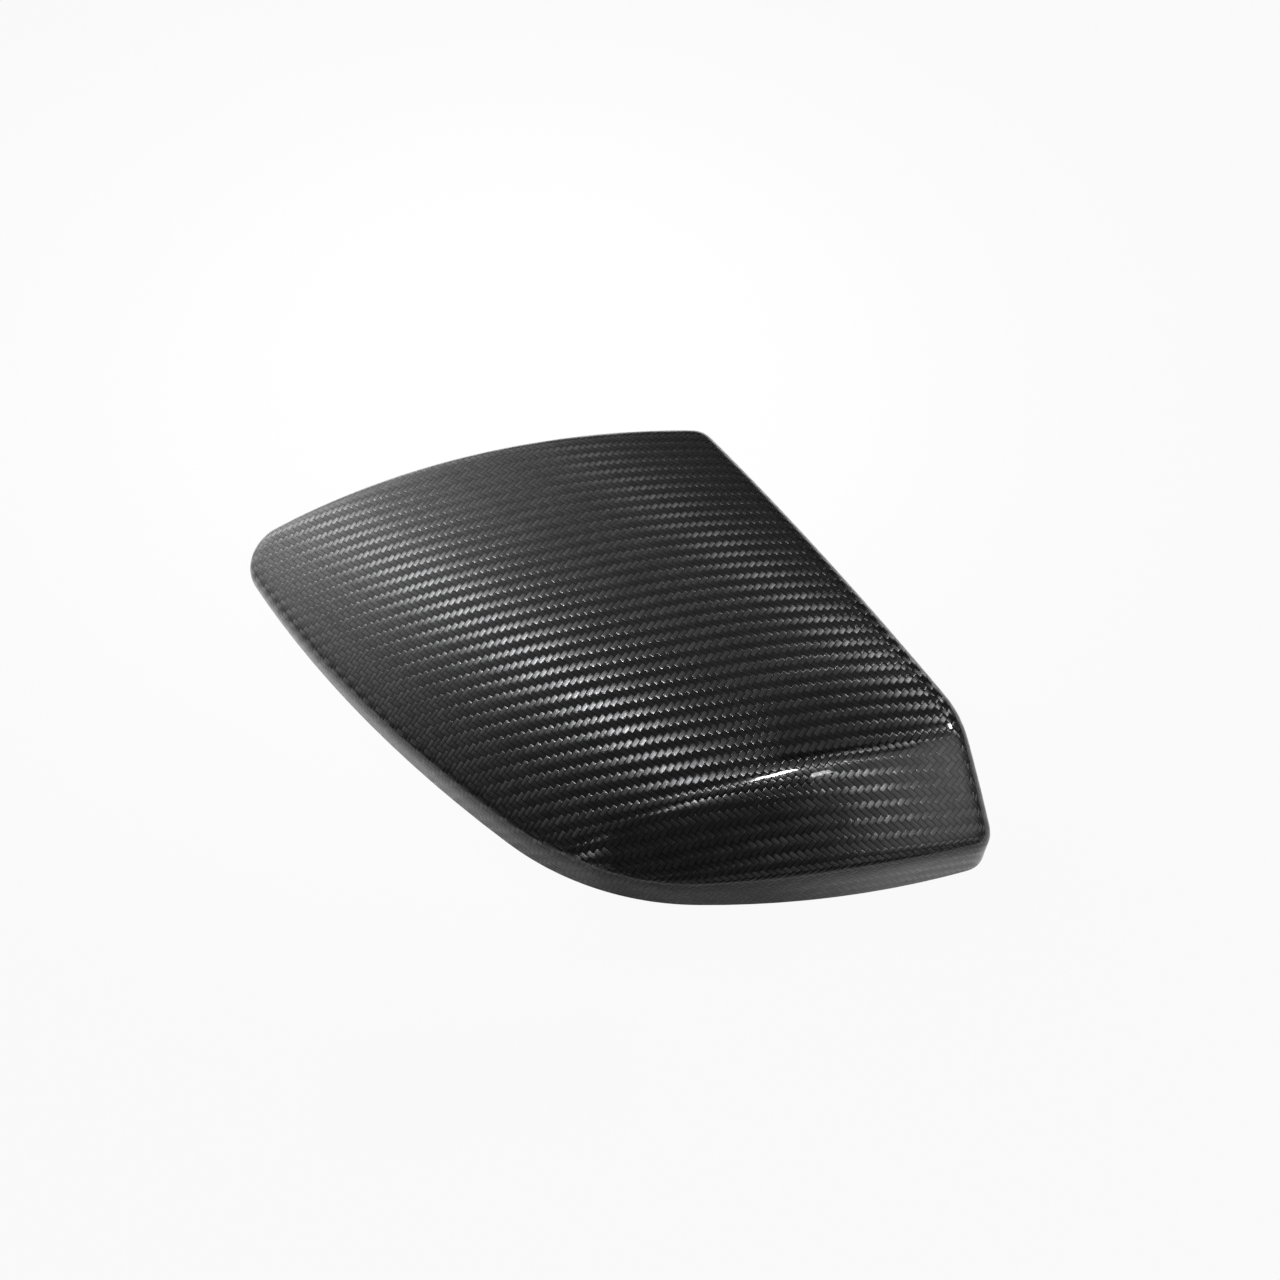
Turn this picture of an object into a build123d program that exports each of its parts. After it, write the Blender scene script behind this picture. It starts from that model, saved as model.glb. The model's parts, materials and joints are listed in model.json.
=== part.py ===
"""Wing mirror cover: one moulded shell, open underneath, standing on its rim at z = 0.

+X runs from the outer tip to the inner corner, +Y to the deep edge and +Z out of the face.
The filled body is made twice, at full size with round edges and one wall smaller with sharp edges,
and the smaller is taken out of the larger.
"""
from build123d import *
from math import radians, tan
import os

# Moulding, mm and degrees; the wall keeps the hollow's sharp edges clear of the round edges outside
WALL = 2.5
DRAFT = 5
EDGE_RADIUS = 6.5
CREASE_RADIUS = 12

# Corner points of the rim before they are rounded
TIP = (-148, 10)
HEEL = (30, -55)
INNER = (136, 6.2)
SHOULDER = (112, 37.5)
PEAK = (-4, 115)

# How far each long side of the rim bows outwards
LOWER_BOW = 9.2
END_BOW = 6.5
UPPER_BOW = 5

# Crown of the face: an arc across, swung on a longer arc, highest at CROWN_TOP
CROWN_TOP = (14, 58)
CROWN_HEIGHT = 38
CROWN_TURN = -19
ACROSS_RADIUS = 223
ALONG_RADIUS = 843
CROWN_SWING = 40

# Corner radii; the draft tightens a corner on the way up, and the edge round has to fit inside it.
# The inner corner ends about half way up, at the scoop
CORNER_SPARE = 0.5
DRAFT_SHIFT = CROWN_HEIGHT * tan(radians(DRAFT))
TIP_ROUND = 14
HEEL_ROUND = 95
SHOULDER_ROUND = 30
INNER_ROUND = EDGE_RADIUS + DRAFT_SHIFT / 2
PEAK_ROUND = EDGE_RADIUS + DRAFT_SHIFT + CORNER_SPARE

# Scoop of the inner end: arcs from ridge to foot, at places along the line from HEEL to INNER.
# Ridge and foot are measured outwards from that line and down from the top of the crown,
# and an arc with a bulge below zero is hollow
SCOOP_PLACE = (-14, 32, 82, 134)
RIDGE_OUT = (-14, -16.5, -23.3, -30)
RIDGE_DOWN = (21.5, 12.4, 6, 11)
FOOT_OUT = (-2, 4, 5, -5)
FOOT_DOWN = (29.5, 26.5, 23, 28)
SCOOP_BULGE = (-0.8, -0.4, 0.3, 1)
SCOOP_REACH = 8
SCOOP_ROOF = 2 * CROWN_HEIGHT

UP = Vector(0, 0, 1)
along = Vector(1, 0, 0).rotate(Axis.Z, CROWN_TURN)
across = Vector(0, 1, 0).rotate(Axis.Z, CROWN_TURN)
end_run = (Vector(*INNER) - Vector(*HEEL)).normalized()
outwards = end_run.cross(UP)


def rim_block(inset):
    """Drafted block on the rim outline; sunk below the table, its walls stand further in by inset."""
    sunk = inset / tan(radians(DRAFT))
    rounds = {
        TIP: TIP_ROUND,
        HEEL: HEEL_ROUND,
        INNER: INNER_ROUND,
        SHOULDER: SHOULDER_ROUND,
        PEAK: PEAK_ROUND,
    }
    with BuildPart() as block:
        with BuildSketch(Plane.XY.offset(-sunk)) as rim:
            with BuildLine():
                SagittaArc(TIP, HEEL, -LOWER_BOW)
                SagittaArc(HEEL, INNER, -END_BOW)
                Polyline(INNER, SHOULDER, PEAK)
                SagittaArc(PEAK, TIP, -UPPER_BOW)
            make_face()
            for corner, radius in rounds.items():
                fillet(rim.vertices().sort_by_distance(Vector(*corner, -sunk))[0], radius)
        extrude(amount=CROWN_HEIGHT + sunk, taper=DRAFT)
    return block.part


def crown_body(inset):
    """Solid below the crown, its skin sunk by inset."""
    centre = Vector(*CROWN_TOP, CROWN_HEIGHT - ALONG_RADIUS)
    swing_axis = Axis(centre, across)
    first_section = Plane(centre, x_dir=across, z_dir=along.rotate(swing_axis, -CROWN_SWING / 2))
    with BuildPart() as crown:
        with BuildSketch(first_section):
            with Locations((0, ALONG_RADIUS - ACROSS_RADIUS)):
                Circle(ACROSS_RADIUS - inset)
        revolve(axis=swing_axis, revolution_arc=CROWN_SWING)
    return crown.part


def scoop_arc(ridge, foot, bulge, inset):
    """Inner end, middle and outer end of an arc across the scoop, sunk by inset."""
    chord = foot - ridge
    width = chord.X
    sunk = Vector(0, -inset * chord.length / width)
    # the arc keeps its curve on the way past ridge and foot
    past = chord * (SCOOP_REACH / width)
    fall = Vector(0, -4 * bulge * SCOOP_REACH * (width + SCOOP_REACH) / width**2)
    middle = (ridge + foot) / 2 + Vector(0, bulge)
    return ridge - past + fall + sunk, middle + sunk, foot + past + fall + sunk


def scoop_body(inset):
    """Solid above the scoop, its skin sunk by inset."""
    ridges = [Vector(out, CROWN_HEIGHT - down) for out, down in zip(RIDGE_OUT, RIDGE_DOWN)]
    feet = [Vector(out, CROWN_HEIGHT - down) for out, down in zip(FOOT_OUT, FOOT_DOWN)]
    with BuildPart() as scoop:
        for place, ridge, foot, bulge in zip(SCOOP_PLACE, ridges, feet, SCOOP_BULGE):
            inner_end, middle, outer_end = scoop_arc(ridge, foot, bulge, inset)
            station = Vector(*HEEL) + end_run * place
            with BuildSketch(Plane(station, x_dir=outwards, z_dir=-end_run)):
                with BuildLine():
                    ThreePointArc(inner_end, middle, outer_end)
                    Polyline(outer_end, (outer_end.X, SCOOP_ROOF), (inner_end.X, SCOOP_ROOF), inner_end)
                make_face()
        loft()
    return scoop.part


def filled_body(inset):
    """Filled body of the cover with sharp edges, its skin moved inwards by inset."""
    with BuildPart() as body:
        add(rim_block(inset))
        add(crown_body(inset), mode=Mode.INTERSECT)
        add(scoop_body(inset), mode=Mode.SUBTRACT)
    return body.part


def top_faces(body):
    """Faces that look up: the crown, the scoop and the round crease between them."""
    return body.faces().filter_by(lambda face: face.normal_at().Z > 0.3)


def wall_faces(body):
    """Faces of the drafted walls."""
    return body.faces().filter_by(lambda face: abs(face.normal_at().Z) < 0.3)


with BuildPart() as mirror_cover:
    add(filled_body(0))
    crown_face, scoop_face = top_faces(mirror_cover)
    fillet(crown_face.edges() & scoop_face.edges(), CREASE_RADIUS)
    fillet(top_faces(mirror_cover).edges() & wall_faces(mirror_cover).edges(), EDGE_RADIUS)
    add(filled_body(WALL), mode=Mode.SUBTRACT)

# the origin is under the middle of the box around the cover
box_middle = mirror_cover.part.bounding_box().center()
mirror_cover.part.position = (-box_middle.X, -box_middle.Y, 0)

os.makedirs("parts", exist_ok=True)
mirror_cover.part.label = "mirror_cover"
export_step(mirror_cover.part, "parts/mirror_cover.step")
print("mirror cover", mirror_cover.part.bounding_box(), "volume", mirror_cover.part.volume)
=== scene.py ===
# %% [markdown]
# A wing mirror cover lies with its open side down on a pale table. It is one moulded shell of carbon
# cloth under clear lacquer. The imported solid gives its place and size, so it is loaded first as a fixed
# frame.

# %% Load the frame
import bpy
import json
import numpy as np
from functools import partial
from math import cos, radians, sin
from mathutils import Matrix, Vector

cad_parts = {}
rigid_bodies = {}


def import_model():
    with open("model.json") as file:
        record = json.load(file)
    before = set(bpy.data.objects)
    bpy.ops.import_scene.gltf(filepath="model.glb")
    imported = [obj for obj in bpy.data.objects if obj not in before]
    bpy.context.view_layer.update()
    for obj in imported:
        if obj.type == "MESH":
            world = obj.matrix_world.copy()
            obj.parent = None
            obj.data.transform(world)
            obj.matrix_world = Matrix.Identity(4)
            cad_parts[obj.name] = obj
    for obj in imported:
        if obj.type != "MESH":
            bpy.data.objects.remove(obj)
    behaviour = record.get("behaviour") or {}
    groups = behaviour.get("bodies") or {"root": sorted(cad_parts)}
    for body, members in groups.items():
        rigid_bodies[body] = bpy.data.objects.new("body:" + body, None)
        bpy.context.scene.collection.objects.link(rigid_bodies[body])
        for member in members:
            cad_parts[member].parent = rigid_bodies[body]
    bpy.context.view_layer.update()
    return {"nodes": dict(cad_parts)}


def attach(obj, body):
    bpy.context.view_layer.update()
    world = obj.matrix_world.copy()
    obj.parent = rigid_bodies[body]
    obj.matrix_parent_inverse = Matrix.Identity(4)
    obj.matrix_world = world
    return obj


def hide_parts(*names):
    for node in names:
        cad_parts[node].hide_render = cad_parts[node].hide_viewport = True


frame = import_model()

scene = bpy.context.scene
scene.view_settings.view_transform = "Standard"

# %% [markdown]
# The camera stands close to the cover and looks down on it at about 55 degrees. A long lens from far away
# would flatten the cover. A 30 mm lens from near by gives the same widening towards the front that the
# picture has, so the place, the turn and the lens go together and are set as one.

# %% Camera
CAMERA_PLACE = (0.0978, -0.1887, 0.3008)
CAMERA_TURN = (radians(35.5), 0, radians(24.889))
LENS_MM = 30
SENSOR_MM = 36

bpy.ops.object.camera_add(location=CAMERA_PLACE, rotation=CAMERA_TURN)
camera = bpy.context.object
camera.data.lens = LENS_MM
camera.data.sensor_width = SENSOR_MM
scene.camera = camera
print("camera", CAMERA_PLACE, "lens", LENS_MM)

# %% [markdown]
# The real cover has a mirror-like lacquer, and lacquer shows every flat facet and every uneven triangle.
# The solid's mesh is good for measuring, but its round edges are cut into irregular triangles that would
# break up a reflection. Modelling the shell again from a plane would risk its measures. So a copy of the
# solid's mesh is merged and cut anew into even squares, which a little smoothing then settles.
#
# Smoothing would also round off the cut edge that stands on the table. The rim is therefore drawn down
# below the table first, and the extra skirt is cut away at the end, which leaves a clean straight edge.

# %% Copy of the solid with a skirt under its rim
SKIRT = 0.006
SAME_POINT = 1e-6
NEAR_TABLE = 1e-5
NEARLY_LEVEL = 0.9


def choose_only(piece):
    """Make one object the only selected one and the active one."""
    bpy.ops.object.select_all(action="DESELECT")
    piece.select_set(True)
    bpy.context.view_layer.objects.active = piece


def pick_faces(piece, wanted):
    """Select the faces of a piece that a test on their middle and normal picks out, in edit mode."""
    bpy.ops.object.mode_set(mode="EDIT")
    bpy.ops.mesh.select_mode(type="FACE")
    bpy.ops.mesh.select_all(action="DESELECT")
    bpy.ops.object.mode_set(mode="OBJECT")
    for face in piece.data.polygons:
        face.select = wanted(face.center, face.normal)
    bpy.ops.object.mode_set(mode="EDIT")


def on_rim(middle, normal):
    """Tell whether a face with this middle and normal lies in the flat rim."""
    return middle.z < NEAR_TABLE and abs(normal.z) > NEARLY_LEVEL


solid = frame["nodes"]["mirror_cover"]
cover = bpy.data.objects.new("cover_shell", solid.data.copy())
scene.collection.objects.link(cover)
choose_only(cover)
bpy.ops.object.mode_set(mode="EDIT")
bpy.ops.mesh.select_all(action="SELECT")
bpy.ops.mesh.remove_doubles(threshold=SAME_POINT)
pick_faces(cover, on_rim)
bpy.ops.mesh.extrude_region_move(TRANSFORM_OT_translate={"value": (0, 0, -SKIRT)})
bpy.ops.object.mode_set(mode="OBJECT")
bpy.ops.mesh.customdata_custom_splitnormals_clear()
print("merged copy with its skirt", len(cover.data.vertices), "points")

# %% Even squares, settled
SQUARE = 0.00105
SETTLE_SHARE = 0.5
SETTLE_ROUNDS = 14

squares = cover.modifiers.new("even_squares", "REMESH")
squares.mode = "VOXEL"
squares.voxel_size = SQUARE
bpy.ops.object.modifier_apply(modifier=squares.name)
settle = cover.modifiers.new("settle", "SMOOTH")
settle.factor = SETTLE_SHARE
settle.iterations = SETTLE_ROUNDS
bpy.ops.object.modifier_apply(modifier=settle.name)
print("even squares", len(cover.data.polygons))

# %% Cut the skirt off level with the table and close the rim
bpy.ops.object.mode_set(mode="EDIT")
bpy.ops.mesh.select_mode(type="EDGE")
bpy.ops.mesh.select_all(action="SELECT")
bpy.ops.mesh.bisect(plane_co=(0, 0, 0), plane_no=(0, 0, 1), clear_inner=True, threshold=SAME_POINT)
bpy.ops.transform.resize(value=(1, 1, 0), center_override=(0, 0, 0))
bpy.ops.mesh.bridge_edge_loops()
bpy.ops.mesh.region_to_loop()
bpy.ops.mesh.mark_seam()
bpy.ops.mesh.mark_sharp()
bpy.ops.object.mode_set(mode="OBJECT")
bpy.ops.object.shade_smooth()
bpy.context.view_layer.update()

# %% [markdown]
# The shell has three finishes: lacquered cloth outside, bare resin and cloth inside, and the sawn edge
# of the laminate where it stands on the table. The two edges of the rim are marked as seams, so the
# outside is everything linked to the highest face without crossing a seam, and the inside is the rest.

# %% Three material places: outside, inside, rim
OUTSIDE, INSIDE, RIM = 0, 1, 2

cover.data.materials.clear()
for name in ("lacquered_carbon", "bare_carbon", "sawn_laminate"):
    finish = bpy.data.materials.new(name)
    finish.use_nodes = True
    cover.data.materials.append(finish)


def give_finish(place):
    """Give the selected faces the finish at one of the three places."""
    cover.active_material_index = place
    bpy.ops.object.material_slot_assign()


summit = max(face.center.z for face in cover.data.polygons)
pick_faces(cover, lambda middle, normal: True)
give_finish(INSIDE)
pick_faces(cover, lambda middle, normal: middle.z == summit)
bpy.ops.mesh.select_linked(delimit={"SEAM"})
give_finish(OUTSIDE)
pick_faces(cover, on_rim)
give_finish(RIM)
bpy.ops.object.mode_set(mode="OBJECT")
places = [face.material_index for face in cover.data.polygons]
rim_faces = [face for face in cover.data.polygons if face.material_index == RIM]
print("faces outside, inside and on the rim", [places.count(place) for place in (OUTSIDE, INSIDE, RIM)])
print("rim faces that look up", sum(face.normal.z > 0 for face in rim_faces))

# %% [markdown]
# Carbon cloth doesn't run by the world's axes: it was laid over the crown and pressed down its sides. A
# pattern on plain coordinates would stretch on the steep sides. So each point gets its own place in the
# cloth. The crown is an arc swung on a longer arc, and lengths along the two arcs are the cloth's two
# measures there. Below the crown, the depth is unfolded outwards along the way the skin leans, which
# keeps lengths true on a straight side. The places are kept as a UV map that counts tows, the flat
# ribbons of fibre.

# %% Place of every corner in the cloth
# the crown's top, turn and two radii are those of the solid
CROWN_TOP = np.array((0.016609, 0.027268, 0.038))
CROWN_TURN = radians(-19)
ACROSS_RADIUS = 0.223
ALONG_RADIUS = 0.843
TOW = 0.00165
CLOTH_TURN = radians(5.6)
STEEPEST = -0.3


def cloth_places(points, normals):
    """Tow counts in the two directions of the cloth for points of the skin."""
    east, north, rise = (points - CROWN_TOP).T
    along = east * cos(CROWN_TURN) + north * sin(CROWN_TURN)
    across = north * cos(CROWN_TURN) - east * sin(CROWN_TURN)
    swing = np.arctan2(along, rise + ALONG_RADIUS)
    reach = np.hypot(along, rise + ALONG_RADIUS) - (ALONG_RADIUS - ACROSS_RADIUS)
    lean = np.arctan2(across, reach)
    depth = ACROSS_RADIUS - np.hypot(across, reach)
    # directions of the two arcs and of the crown's normal at each point
    way_along = np.array((cos(CROWN_TURN), sin(CROWN_TURN), 0))
    way_across = np.array((-sin(CROWN_TURN), cos(CROWN_TURN), 0))
    way_up = np.array((0, 0, 1))
    spoke = np.outer(np.sin(swing), way_along) + np.outer(np.cos(swing), way_up)
    first = np.outer(np.cos(swing), way_along) - np.outer(np.sin(swing), way_up)
    second = np.outer(np.cos(lean), way_across) - spoke * np.sin(lean)[:, None]
    crown = np.outer(np.sin(lean), way_across) + spoke * np.cos(lean)[:, None]
    # the unfolding would run away on skin that turns under, so its slope has a limit
    unfold = depth / (1 + np.maximum((normals * crown).sum(1), STEEPEST))
    u = ALONG_RADIUS * swing + unfold * (normals * first).sum(1)
    v = ACROSS_RADIUS * lean + unfold * (normals * second).sum(1)
    turned_u = u * cos(CLOTH_TURN) + v * sin(CLOTH_TURN)
    turned_v = v * cos(CLOTH_TURN) - u * sin(CLOTH_TURN)
    return np.stack((turned_u, turned_v), 1) / TOW


def read_all(items, field, kind=float, width=1):
    """Read one field of all items of a mesh, a row for each where the field holds several numbers."""
    values = np.empty(len(items) * width, kind)
    items.foreach_get(field, values)
    return values.reshape(-1, width) if width > 1 else values


mesh = cover.data
points = read_all(mesh.vertices, "co", width=3)[read_all(mesh.loops, "vertex_index", int)]
normals = read_all(mesh.corner_normals, "vector", width=3)
corner_places = np.repeat(places, read_all(mesh.polygons, "loop_total", int))
normals[corner_places == INSIDE] *= -1
normals[corner_places == RIM] = (0, 0, 1)
cloth = cloth_places(points, normals)
cloth_map = mesh.uv_layers.new(name="cloth")
cloth_map.data.foreach_set("uv", cloth.ravel())
print("tows across the cover", np.ptp(cloth, axis=0).round())

# %% [markdown]
# The finish is a twill: every tow passes over two and under two of the others, one step further in each
# row, so the tows that lie on top form slanting rows. A picture of cloth could be wrapped on, but it
# would repeat and blur. Here the weave is worked out by nodes from the tow counts: which tow lies on top,
# how far a point is from the middle of that tow, and how far along its float, the visible stretch.
#
# A tow is a bundle of parallel fibres. Light glances off it as off brushed metal, in a line across
# the fibres. So the shader stretches its highlight across the tow that lies on top. This is what makes
# one set of tows shine while the other stays black.

# %% Small helpers for nodes
def math_node(tree, operation, *terms):
    """Add a Math node; a term is a number or the output of another node."""
    node = tree.nodes.new("ShaderNodeMath")
    node.operation = operation
    for socket, term in zip(node.inputs, terms):
        if isinstance(term, (int, float)):
            socket.default_value = term
        else:
            tree.links.new(term, socket)
    return node.outputs[0]


def blend_node(tree, kind, share, first, second):
    """Add a Mix node of kind FLOAT, VECTOR or RGBA between two terms."""
    node = tree.nodes.new("ShaderNodeMix")
    node.data_type = kind
    letter = {"FLOAT": "Float", "VECTOR": "Vector", "RGBA": "Color"}[kind]
    sockets = {socket.identifier: socket for socket in node.inputs}
    for key, term in (("Factor_Float", share), ("A_" + letter, first), ("B_" + letter, second)):
        if isinstance(term, (int, float, tuple)):
            sockets[key].default_value = term
        else:
            tree.links.new(term, sockets[key])
    return next(socket for socket in node.outputs if socket.identifier == "Result_" + letter)


def fade_node(tree, term, start, stop):
    """Add a Map Range node that goes softly from 0 at start to 1 at stop."""
    node = tree.nodes.new("ShaderNodeMapRange")
    node.interpolation_type = "SMOOTHSTEP"
    node.inputs["From Min"].default_value = start
    node.inputs["From Max"].default_value = stop
    tree.links.new(term, node.inputs["Value"])
    return node.outputs["Result"]


print("helpers ready")

# %% Nodes of the twill
# tows that a tow passes over, and then under, before the weave repeats
TOWS_OVER = 2
REPEAT = 2 * TOWS_OVER
# keeps the numbers of the tows along apart from those of the tows across
ALONG_NUMBER = 0.37


def weave(tree):
    """Add the twill's nodes; they tell about the tow that lies on top at each point.

    The outputs are 1 for a tow across and 0 for a tow along, the place over its width from -0.5 to 0.5,
    the place along its float from -1 to 1, and the tow's own number.
    """
    maths = partial(math_node, tree)
    place = tree.nodes.new("ShaderNodeUVMap")
    place.uv_map = "cloth"
    split = tree.nodes.new("ShaderNodeSeparateXYZ")
    tree.links.new(place.outputs["UV"], split.inputs[0])
    a, b = split.outputs[0], split.outputs[1]
    column = maths("FLOOR", a)
    row = maths("FLOOR", b)
    step = maths("FLOORED_MODULO", maths("SUBTRACT", column, row), REPEAT)
    across_on_top = maths("LESS_THAN", step, TOWS_OVER - 0.5)
    across_width = maths("SUBTRACT", maths("SUBTRACT", a, column), 0.5)
    along_width = maths("SUBTRACT", maths("SUBTRACT", b, row), 0.5)
    across_start = maths("ADD", maths("SUBTRACT", b, column), 1)
    along_start = maths("SUBTRACT", maths("SUBTRACT", a, row), TOWS_OVER)
    across_run = maths("SUBTRACT", maths("FLOORED_MODULO", across_start, REPEAT), 1)
    along_run = maths("SUBTRACT", maths("FLOORED_MODULO", along_start, REPEAT), 1)
    width = blend_node(tree, "FLOAT", across_on_top, along_width, across_width)
    run = blend_node(tree, "FLOAT", across_on_top, along_run, across_run)
    number = blend_node(tree, "FLOAT", across_on_top, maths("ADD", row, ALONG_NUMBER), column)
    return across_on_top, width, run, number


print("twill over and under", TOWS_OVER, "tows")

# %% Finish of the cloth, lacquered or bare
TOW_RISE = 0.00006
LENS_SHARE = 1.8
FIBRES_ACROSS = 9
FIBRES_ALONG = 0.7
TOW_CHANCE = 0.35
FIBRE_CHANCE = 0.65
GAP_SIDE = 0.68
GAP_END = 0.92
DARK_FIBRE = (0.037, 0.037, 0.038, 1)
PALE_FIBRE = (0.15, 0.15, 0.153, 1)
GAP_RESIN = (0.006, 0.006, 0.006, 1)
PALE_SMOOTHER = -0.1
LACQUER_ROUGHNESS = 0.04
LACQUER_IOR = 1.5


def carbon_cloth(finish, roughness, stretch, lacquered):
    """Fill a material with the twill; lacquer adds a smooth clear coat."""
    tree = finish.node_tree
    maths = partial(math_node, tree)
    shader = tree.nodes["Principled BSDF"]
    across_on_top, width, run, number = weave(tree)
    # a tow is a flat lens across its width, and its float bows up between the two places where it dives
    side = maths("MULTIPLY", maths("ABSOLUTE", width), 2)
    end = maths("ABSOLUTE", run)
    lens = maths("SUBTRACT", 1, maths("POWER", side, 2))
    bow = maths("SUBTRACT", 1, maths("POWER", end, 5))
    bump = tree.nodes.new("ShaderNodeBump")
    bump.inputs["Strength"].default_value = 1
    bump.inputs["Distance"].default_value = TOW_RISE
    tree.links.new(maths("ADD", bow, maths("MULTIPLY", lens, LENS_SHARE)), bump.inputs["Height"])
    tree.links.new(bump.outputs["Normal"], shader.inputs["Normal"])
    # every tow takes the light a little differently, and fine fibres run along it
    chance = tree.nodes.new("ShaderNodeTexWhiteNoise")
    chance.noise_dimensions = "1D"
    tree.links.new(number, chance.inputs["W"])
    fibre_place = tree.nodes.new("ShaderNodeCombineXYZ")
    tree.links.new(maths("MULTIPLY", width, FIBRES_ACROSS), fibre_place.inputs[0])
    tree.links.new(maths("MULTIPLY", run, FIBRES_ALONG), fibre_place.inputs[1])
    tree.links.new(number, fibre_place.inputs[2])
    fibres = tree.nodes.new("ShaderNodeTexNoise")
    fibres.inputs["Scale"].default_value = 1
    fibres.inputs["Detail"].default_value = 2
    tree.links.new(fibre_place.outputs[0], fibres.inputs["Vector"])
    tow_shade = maths("MULTIPLY", chance.outputs["Value"], TOW_CHANCE)
    shade = maths("ADD", tow_shade, maths("MULTIPLY", fibres.outputs["Fac"], FIBRE_CHANCE))
    # dark resin fills the gaps beside a tow and at the ends of its float
    on_tow = maths("MULTIPLY", fade_node(tree, side, 1, GAP_SIDE), fade_node(tree, end, 1, GAP_END))
    fibre_colour = blend_node(tree, "RGBA", shade, DARK_FIBRE, PALE_FIBRE)
    tree.links.new(blend_node(tree, "RGBA", on_tow, GAP_RESIN, fibre_colour), shader.inputs["Base Color"])
    rough = maths("ADD", maths("MULTIPLY", shade, PALE_SMOOTHER), roughness)
    tree.links.new(rough, shader.inputs["Roughness"])
    shader.inputs["Metallic"].default_value = 1
    shader.inputs["Anisotropic"].default_value = stretch
    # the highlight is stretched across the fibres of the tow that lies on top
    along_cloth = tree.nodes.new("ShaderNodeTangent")
    along_cloth.direction_type = "UV_MAP"
    along_cloth.uv_map = "cloth"
    surface = tree.nodes.new("ShaderNodeNewGeometry")
    turn = tree.nodes.new("ShaderNodeVectorMath")
    turn.operation = "CROSS_PRODUCT"
    tree.links.new(surface.outputs["Normal"], turn.inputs[0])
    tree.links.new(along_cloth.outputs["Tangent"], turn.inputs[1])
    across_fibres = blend_node(
        tree, "VECTOR", across_on_top, turn.outputs[0], along_cloth.outputs["Tangent"]
    )
    tree.links.new(across_fibres, shader.inputs["Tangent"])
    if lacquered:
        shader.inputs["Coat Weight"].default_value = 1
        shader.inputs["Coat Roughness"].default_value = LACQUER_ROUGHNESS
        shader.inputs["Coat IOR"].default_value = LACQUER_IOR
    print(finish.name, len(tree.nodes), "nodes")


carbon_cloth(mesh.materials["lacquered_carbon"], roughness=0.4, stretch=1, lacquered=True)
carbon_cloth(mesh.materials["bare_carbon"], roughness=0.62, stretch=0.7, lacquered=False)

# %% [markdown]
# The sawn edge of the rim shows dark resin with the cut ends of fibres. It is only 2.5 mm wide and mostly
# hidden against the table, so grey speckles from a fine noise are enough.

# %% Finish of the sawn rim
SPECKLES_PER_METRE = 2200
DARK_RESIN = (0.006, 0.006, 0.007, 1)
CUT_FIBRE = (0.06, 0.06, 0.062, 1)
SAWN_ROUGHNESS = 0.6

tree = mesh.materials["sawn_laminate"].node_tree
rim_shader = tree.nodes["Principled BSDF"]
spot = tree.nodes.new("ShaderNodeTexCoord")
speckle = tree.nodes.new("ShaderNodeTexNoise")
speckle.inputs["Scale"].default_value = SPECKLES_PER_METRE
speckle.inputs["Detail"].default_value = 3
tree.links.new(spot.outputs["Object"], speckle.inputs["Vector"])
rim_colour = blend_node(tree, "RGBA", speckle.outputs["Fac"], DARK_RESIN, CUT_FIBRE)
tree.links.new(rim_colour, rim_shader.inputs["Base Color"])
rim_shader.inputs["Roughness"].default_value = SAWN_ROUGHNESS
print("sawn_laminate", len(tree.nodes), "nodes")

# %% Tie the cover to the frame
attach(cover, "root")
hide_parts("mirror_cover")
print("cover rides on root and stands for the solid")

# %% [markdown]
# The table is a white sheet. It has to look white to the camera and pale in the lacquer, and still take
# the cover's soft shadow. So its material blends a grey that the lamps light with a white of its own.
# The camera sees mostly that white, and reflections see some of it. Near the heel they see less of it,
# a painted shadow of the cover on the sheet, so the end wall's reflection grows paler towards the inner
# corner.

# %% Table
SHEET_SIZE = 6
SHEET_DROP = 0.0002
SHEET_GREY = (0.5, 0.5, 0.5, 1)
WHITE = (1, 1, 1, 1)
SHEET_SEEN = 0.94
HEEL = (0.05, -0.08, 0)
PAINTED_HEEL_SHADE_START, PAINTED_HEEL_SHADE_STOP = 0.03, 0.09
SHEET_IN_LACQUER_HEEL, SHEET_IN_LACQUER_OPEN = 0.1, 0.5

bpy.ops.object.select_all(action="DESELECT")
bpy.ops.mesh.primitive_plane_add(size=SHEET_SIZE, location=(0, 0, -SHEET_DROP))
table = bpy.context.object
table.name = "table"
sheet = bpy.data.materials.new("white_sheet")
sheet.use_nodes = True
tree = sheet.node_tree
maths = partial(math_node, tree)
tree.nodes.remove(tree.nodes["Principled BSDF"])
lit = tree.nodes.new("ShaderNodeBsdfDiffuse")
lit.inputs["Color"].default_value = SHEET_GREY
own = tree.nodes.new("ShaderNodeEmission")
own.inputs["Color"].default_value = WHITE
place = tree.nodes.new("ShaderNodeTexCoord")
from_heel = tree.nodes.new("ShaderNodeVectorMath")
from_heel.operation = "DISTANCE"
from_heel.inputs[1].default_value = HEEL
tree.links.new(place.outputs["Object"], from_heel.inputs[0])
# painted shadow of the cover around the heel: only reflections see the sheet darker there
beyond_painted_heel_shade = fade_node(tree, from_heel.outputs["Value"], PAINTED_HEEL_SHADE_START, PAINTED_HEEL_SHADE_STOP)
in_lacquer = blend_node(tree, "FLOAT", beyond_painted_heel_shade, SHEET_IN_LACQUER_HEEL, SHEET_IN_LACQUER_OPEN)
rays = tree.nodes.new("ShaderNodeLightPath")
mirrored = maths("MAXIMUM", rays.outputs["Is Glossy Ray"], rays.outputs["Is Transmission Ray"])
seen = maths("MULTIPLY", rays.outputs["Is Camera Ray"], SHEET_SEEN)
seen = maths("MAXIMUM", seen, maths("MULTIPLY", mirrored, in_lacquer))
mixed = tree.nodes.new("ShaderNodeMixShader")
tree.links.new(seen, mixed.inputs["Fac"])
tree.links.new(lit.outputs[0], mixed.inputs[1])
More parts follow.
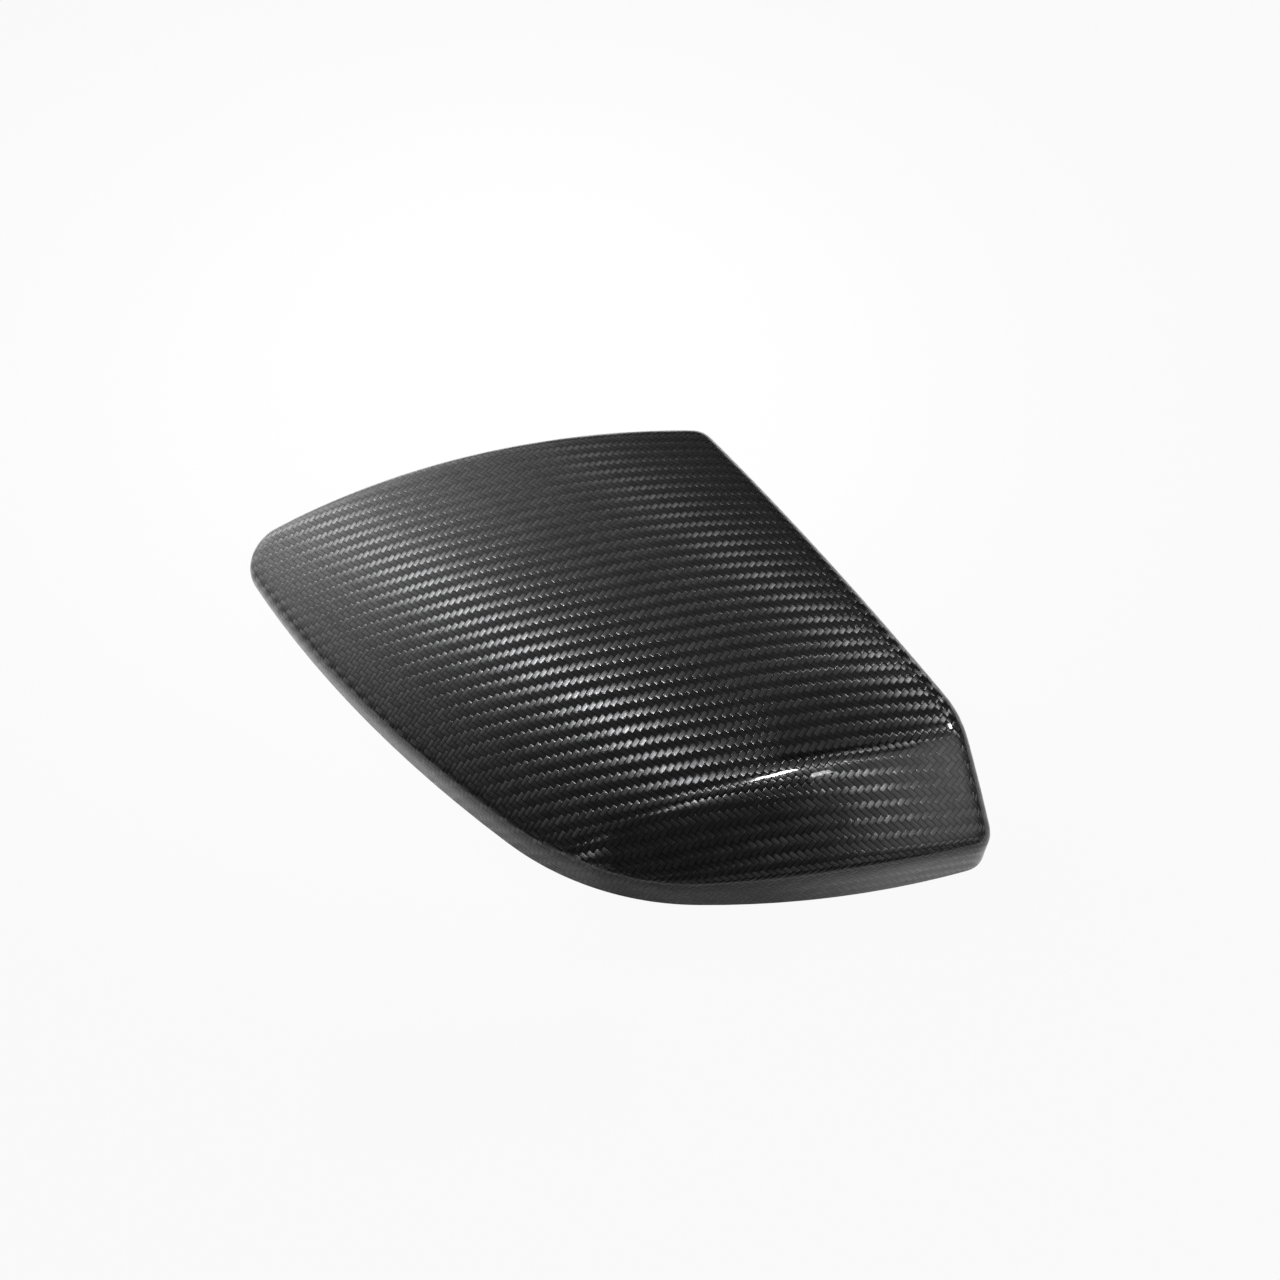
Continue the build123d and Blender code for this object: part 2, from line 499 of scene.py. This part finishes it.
tree.links.new(own.outputs[0], mixed.inputs[2])
tree.links.new(mixed.outputs[0], tree.nodes["Material Output"].inputs["Surface"])
table.data.materials.append(sheet)
print("table", tuple(table.dimensions))

# %% [markdown]
# Two soft lamps make the two lit bands of the cloth. Fibres shine where the line half way between lamp and
# eye stands square on them, and the tows across the crown tip steadily over its bow, so each lamp
# lights one band. One lamp hangs almost overhead and also draws the white streak on the crease. Its light
# is narrowed and aimed past the far edge on the left, so the left part gets the most of it and the scoop
# the least. The other stands behind on the right. A third, small and weak, draws the second, shorter
# streak.

# %% Lamps
COVER_MIDDLE = Vector((0.02, 0, 0.02))
PAST_FAR_EDGE = Vector((-0.12, 0.14, 0.02))


def way_to(azimuth, elevation):
    """Direction from the cover to a place in the room, from its two angles in degrees."""
    flat = cos(radians(elevation))
    return Vector((flat * cos(radians(azimuth)), flat * sin(radians(azimuth)), sin(radians(elevation))))


OVERHEAD = way_to(-51, 71.3)
BACK = way_to(46, 48)
LOW = way_to(-39, 54)


def soft_lamp(name, way, distance, size, power, aim=COVER_MIDDLE, spread=180):
    """Add a square lamp at a distance from the middle of the cover; it looks at its own aim."""
    bpy.ops.object.select_all(action="DESELECT")
    bpy.ops.object.light_add(type="AREA", location=COVER_MIDDLE + distance * way)
    lamp = bpy.context.object
    lamp.name = name
    lamp.rotation_euler = (lamp.location - aim).to_track_quat("Z", "Y").to_euler()
    lamp.data.size = size
    lamp.data.energy = power
    lamp.data.spread = radians(spread)
    print(name, tuple(round(c, 3) for c in lamp.location), power, "W")


soft_lamp("overhead_lamp", OVERHEAD, distance=0.8, size=0.11, power=0.73, aim=PAST_FAR_EDGE, spread=36)
soft_lamp("back_lamp", BACK, distance=0.9, size=0.09, power=1.5)
soft_lamp("low_lamp", LOW, distance=0.9, size=0.05, power=0.09)

# %% [markdown]
# The scoop faces the camera, so the two larger lamps would light its cloth and hide how dark and deep the
# lacquer is there. A photographer holds a small black card in the light for this. Each of the two lamps
# gets a card that shades the hollow of the scoop and leaves the crease and its streak in the light. The
# camera doesn't see the cards.

# %% Black cards that keep the lamps off the scoop
SCOOP_MIDDLE = Vector((0.064, -0.0605, 0.02))
SCOOP_TURN = radians(30)
CARD_SIZE = (0.066, 0.024)
CARD_RISE = 0.06
FELT_BLACK = (0.01, 0.01, 0.01, 1)

felt = bpy.data.materials.new("black_felt")
felt.use_nodes = True
felt_shader = felt.node_tree.nodes["Principled BSDF"]
felt_shader.inputs["Base Color"].default_value = FELT_BLACK
felt_shader.inputs["Roughness"].default_value = 1


def black_card(name, way):
    """Add a level card over the scoop, in the way of the light from one direction."""
    middle = SCOOP_MIDDLE + way * (CARD_RISE / way.z)
    bpy.ops.object.select_all(action="DESELECT")
    bpy.ops.mesh.primitive_plane_add(size=1, location=middle, rotation=(0, 0, SCOOP_TURN))
    card = bpy.context.object
    card.name = name
    card.scale = (*CARD_SIZE, 1)
    card.data.materials.append(felt)
    card.visible_camera = False
    print(name, tuple(round(c, 3) for c in card.location))


black_card("overhead_card", OVERHEAD)
black_card("back_card", BACK)

# %% [markdown]
# The rest of the room is dim, with four soft glows. The strongest lies low on the left and leaves the haze
# on the outer tip. One on the right lights the inner end, and the last two keep the far side and the crown
# from going black. White screens would do the same, but the lacquer would show their corners. The camera
# sees an even pale room instead of the glows, so the backdrop stays plain from every side.

# %% Dim room with soft glows
DIM = 0.02
DARKEST_IN_LACQUER = 0.04
ROOM_SEEN = 0.93

room = bpy.data.worlds.new("room")
room.use_nodes = True
scene.world = room
tree = room.node_tree
maths = partial(math_node, tree)
view = tree.nodes.new("ShaderNodeTexCoord")


def glow_node(towards, sharpness, strength):
    """Light of the room that fades softly around one direction."""
    lean = tree.nodes.new("ShaderNodeVectorMath")
    lean.operation = "DOT_PRODUCT"
    lean.inputs[1].default_value = Vector(towards).normalized()
    tree.links.new(view.outputs["Generated"], lean.inputs[0])
    near = maths("POWER", maths("MAXIMUM", lean.outputs["Value"], 0), sharpness)
    return maths("MULTIPLY", near, strength)


left_glow = glow_node((-0.93, 0.2, 0.3), sharpness=8, strength=2)
right_glow = glow_node((0.72, -0.03, 0.69), sharpness=18, strength=1.2)
back_glow = glow_node((-0.64, 0.37, 0.67), sharpness=11, strength=0.13)
ceiling_glow = glow_node((-0.15, 0.5, 0.85), sharpness=5, strength=0.15)
glows = maths("ADD", maths("ADD", left_glow, right_glow), maths("ADD", back_glow, ceiling_glow))
rays = tree.nodes.new("ShaderNodeLightPath")
mirrored = maths("MAXIMUM", rays.outputs["Is Glossy Ray"], rays.outputs["Is Transmission Ray"])
in_lacquer = maths("MULTIPLY", mirrored, DARKEST_IN_LACQUER)
light = maths("MAXIMUM", maths("ADD", glows, DIM), in_lacquer)
strength = blend_node(tree, "FLOAT", rays.outputs["Is Camera Ray"], light, ROOM_SEEN)
tree.links.new(strength, tree.nodes["Background"].inputs["Strength"])
tree.nodes["Background"].inputs["Color"].default_value = WHITE
print("room", len(tree.nodes), "nodes")
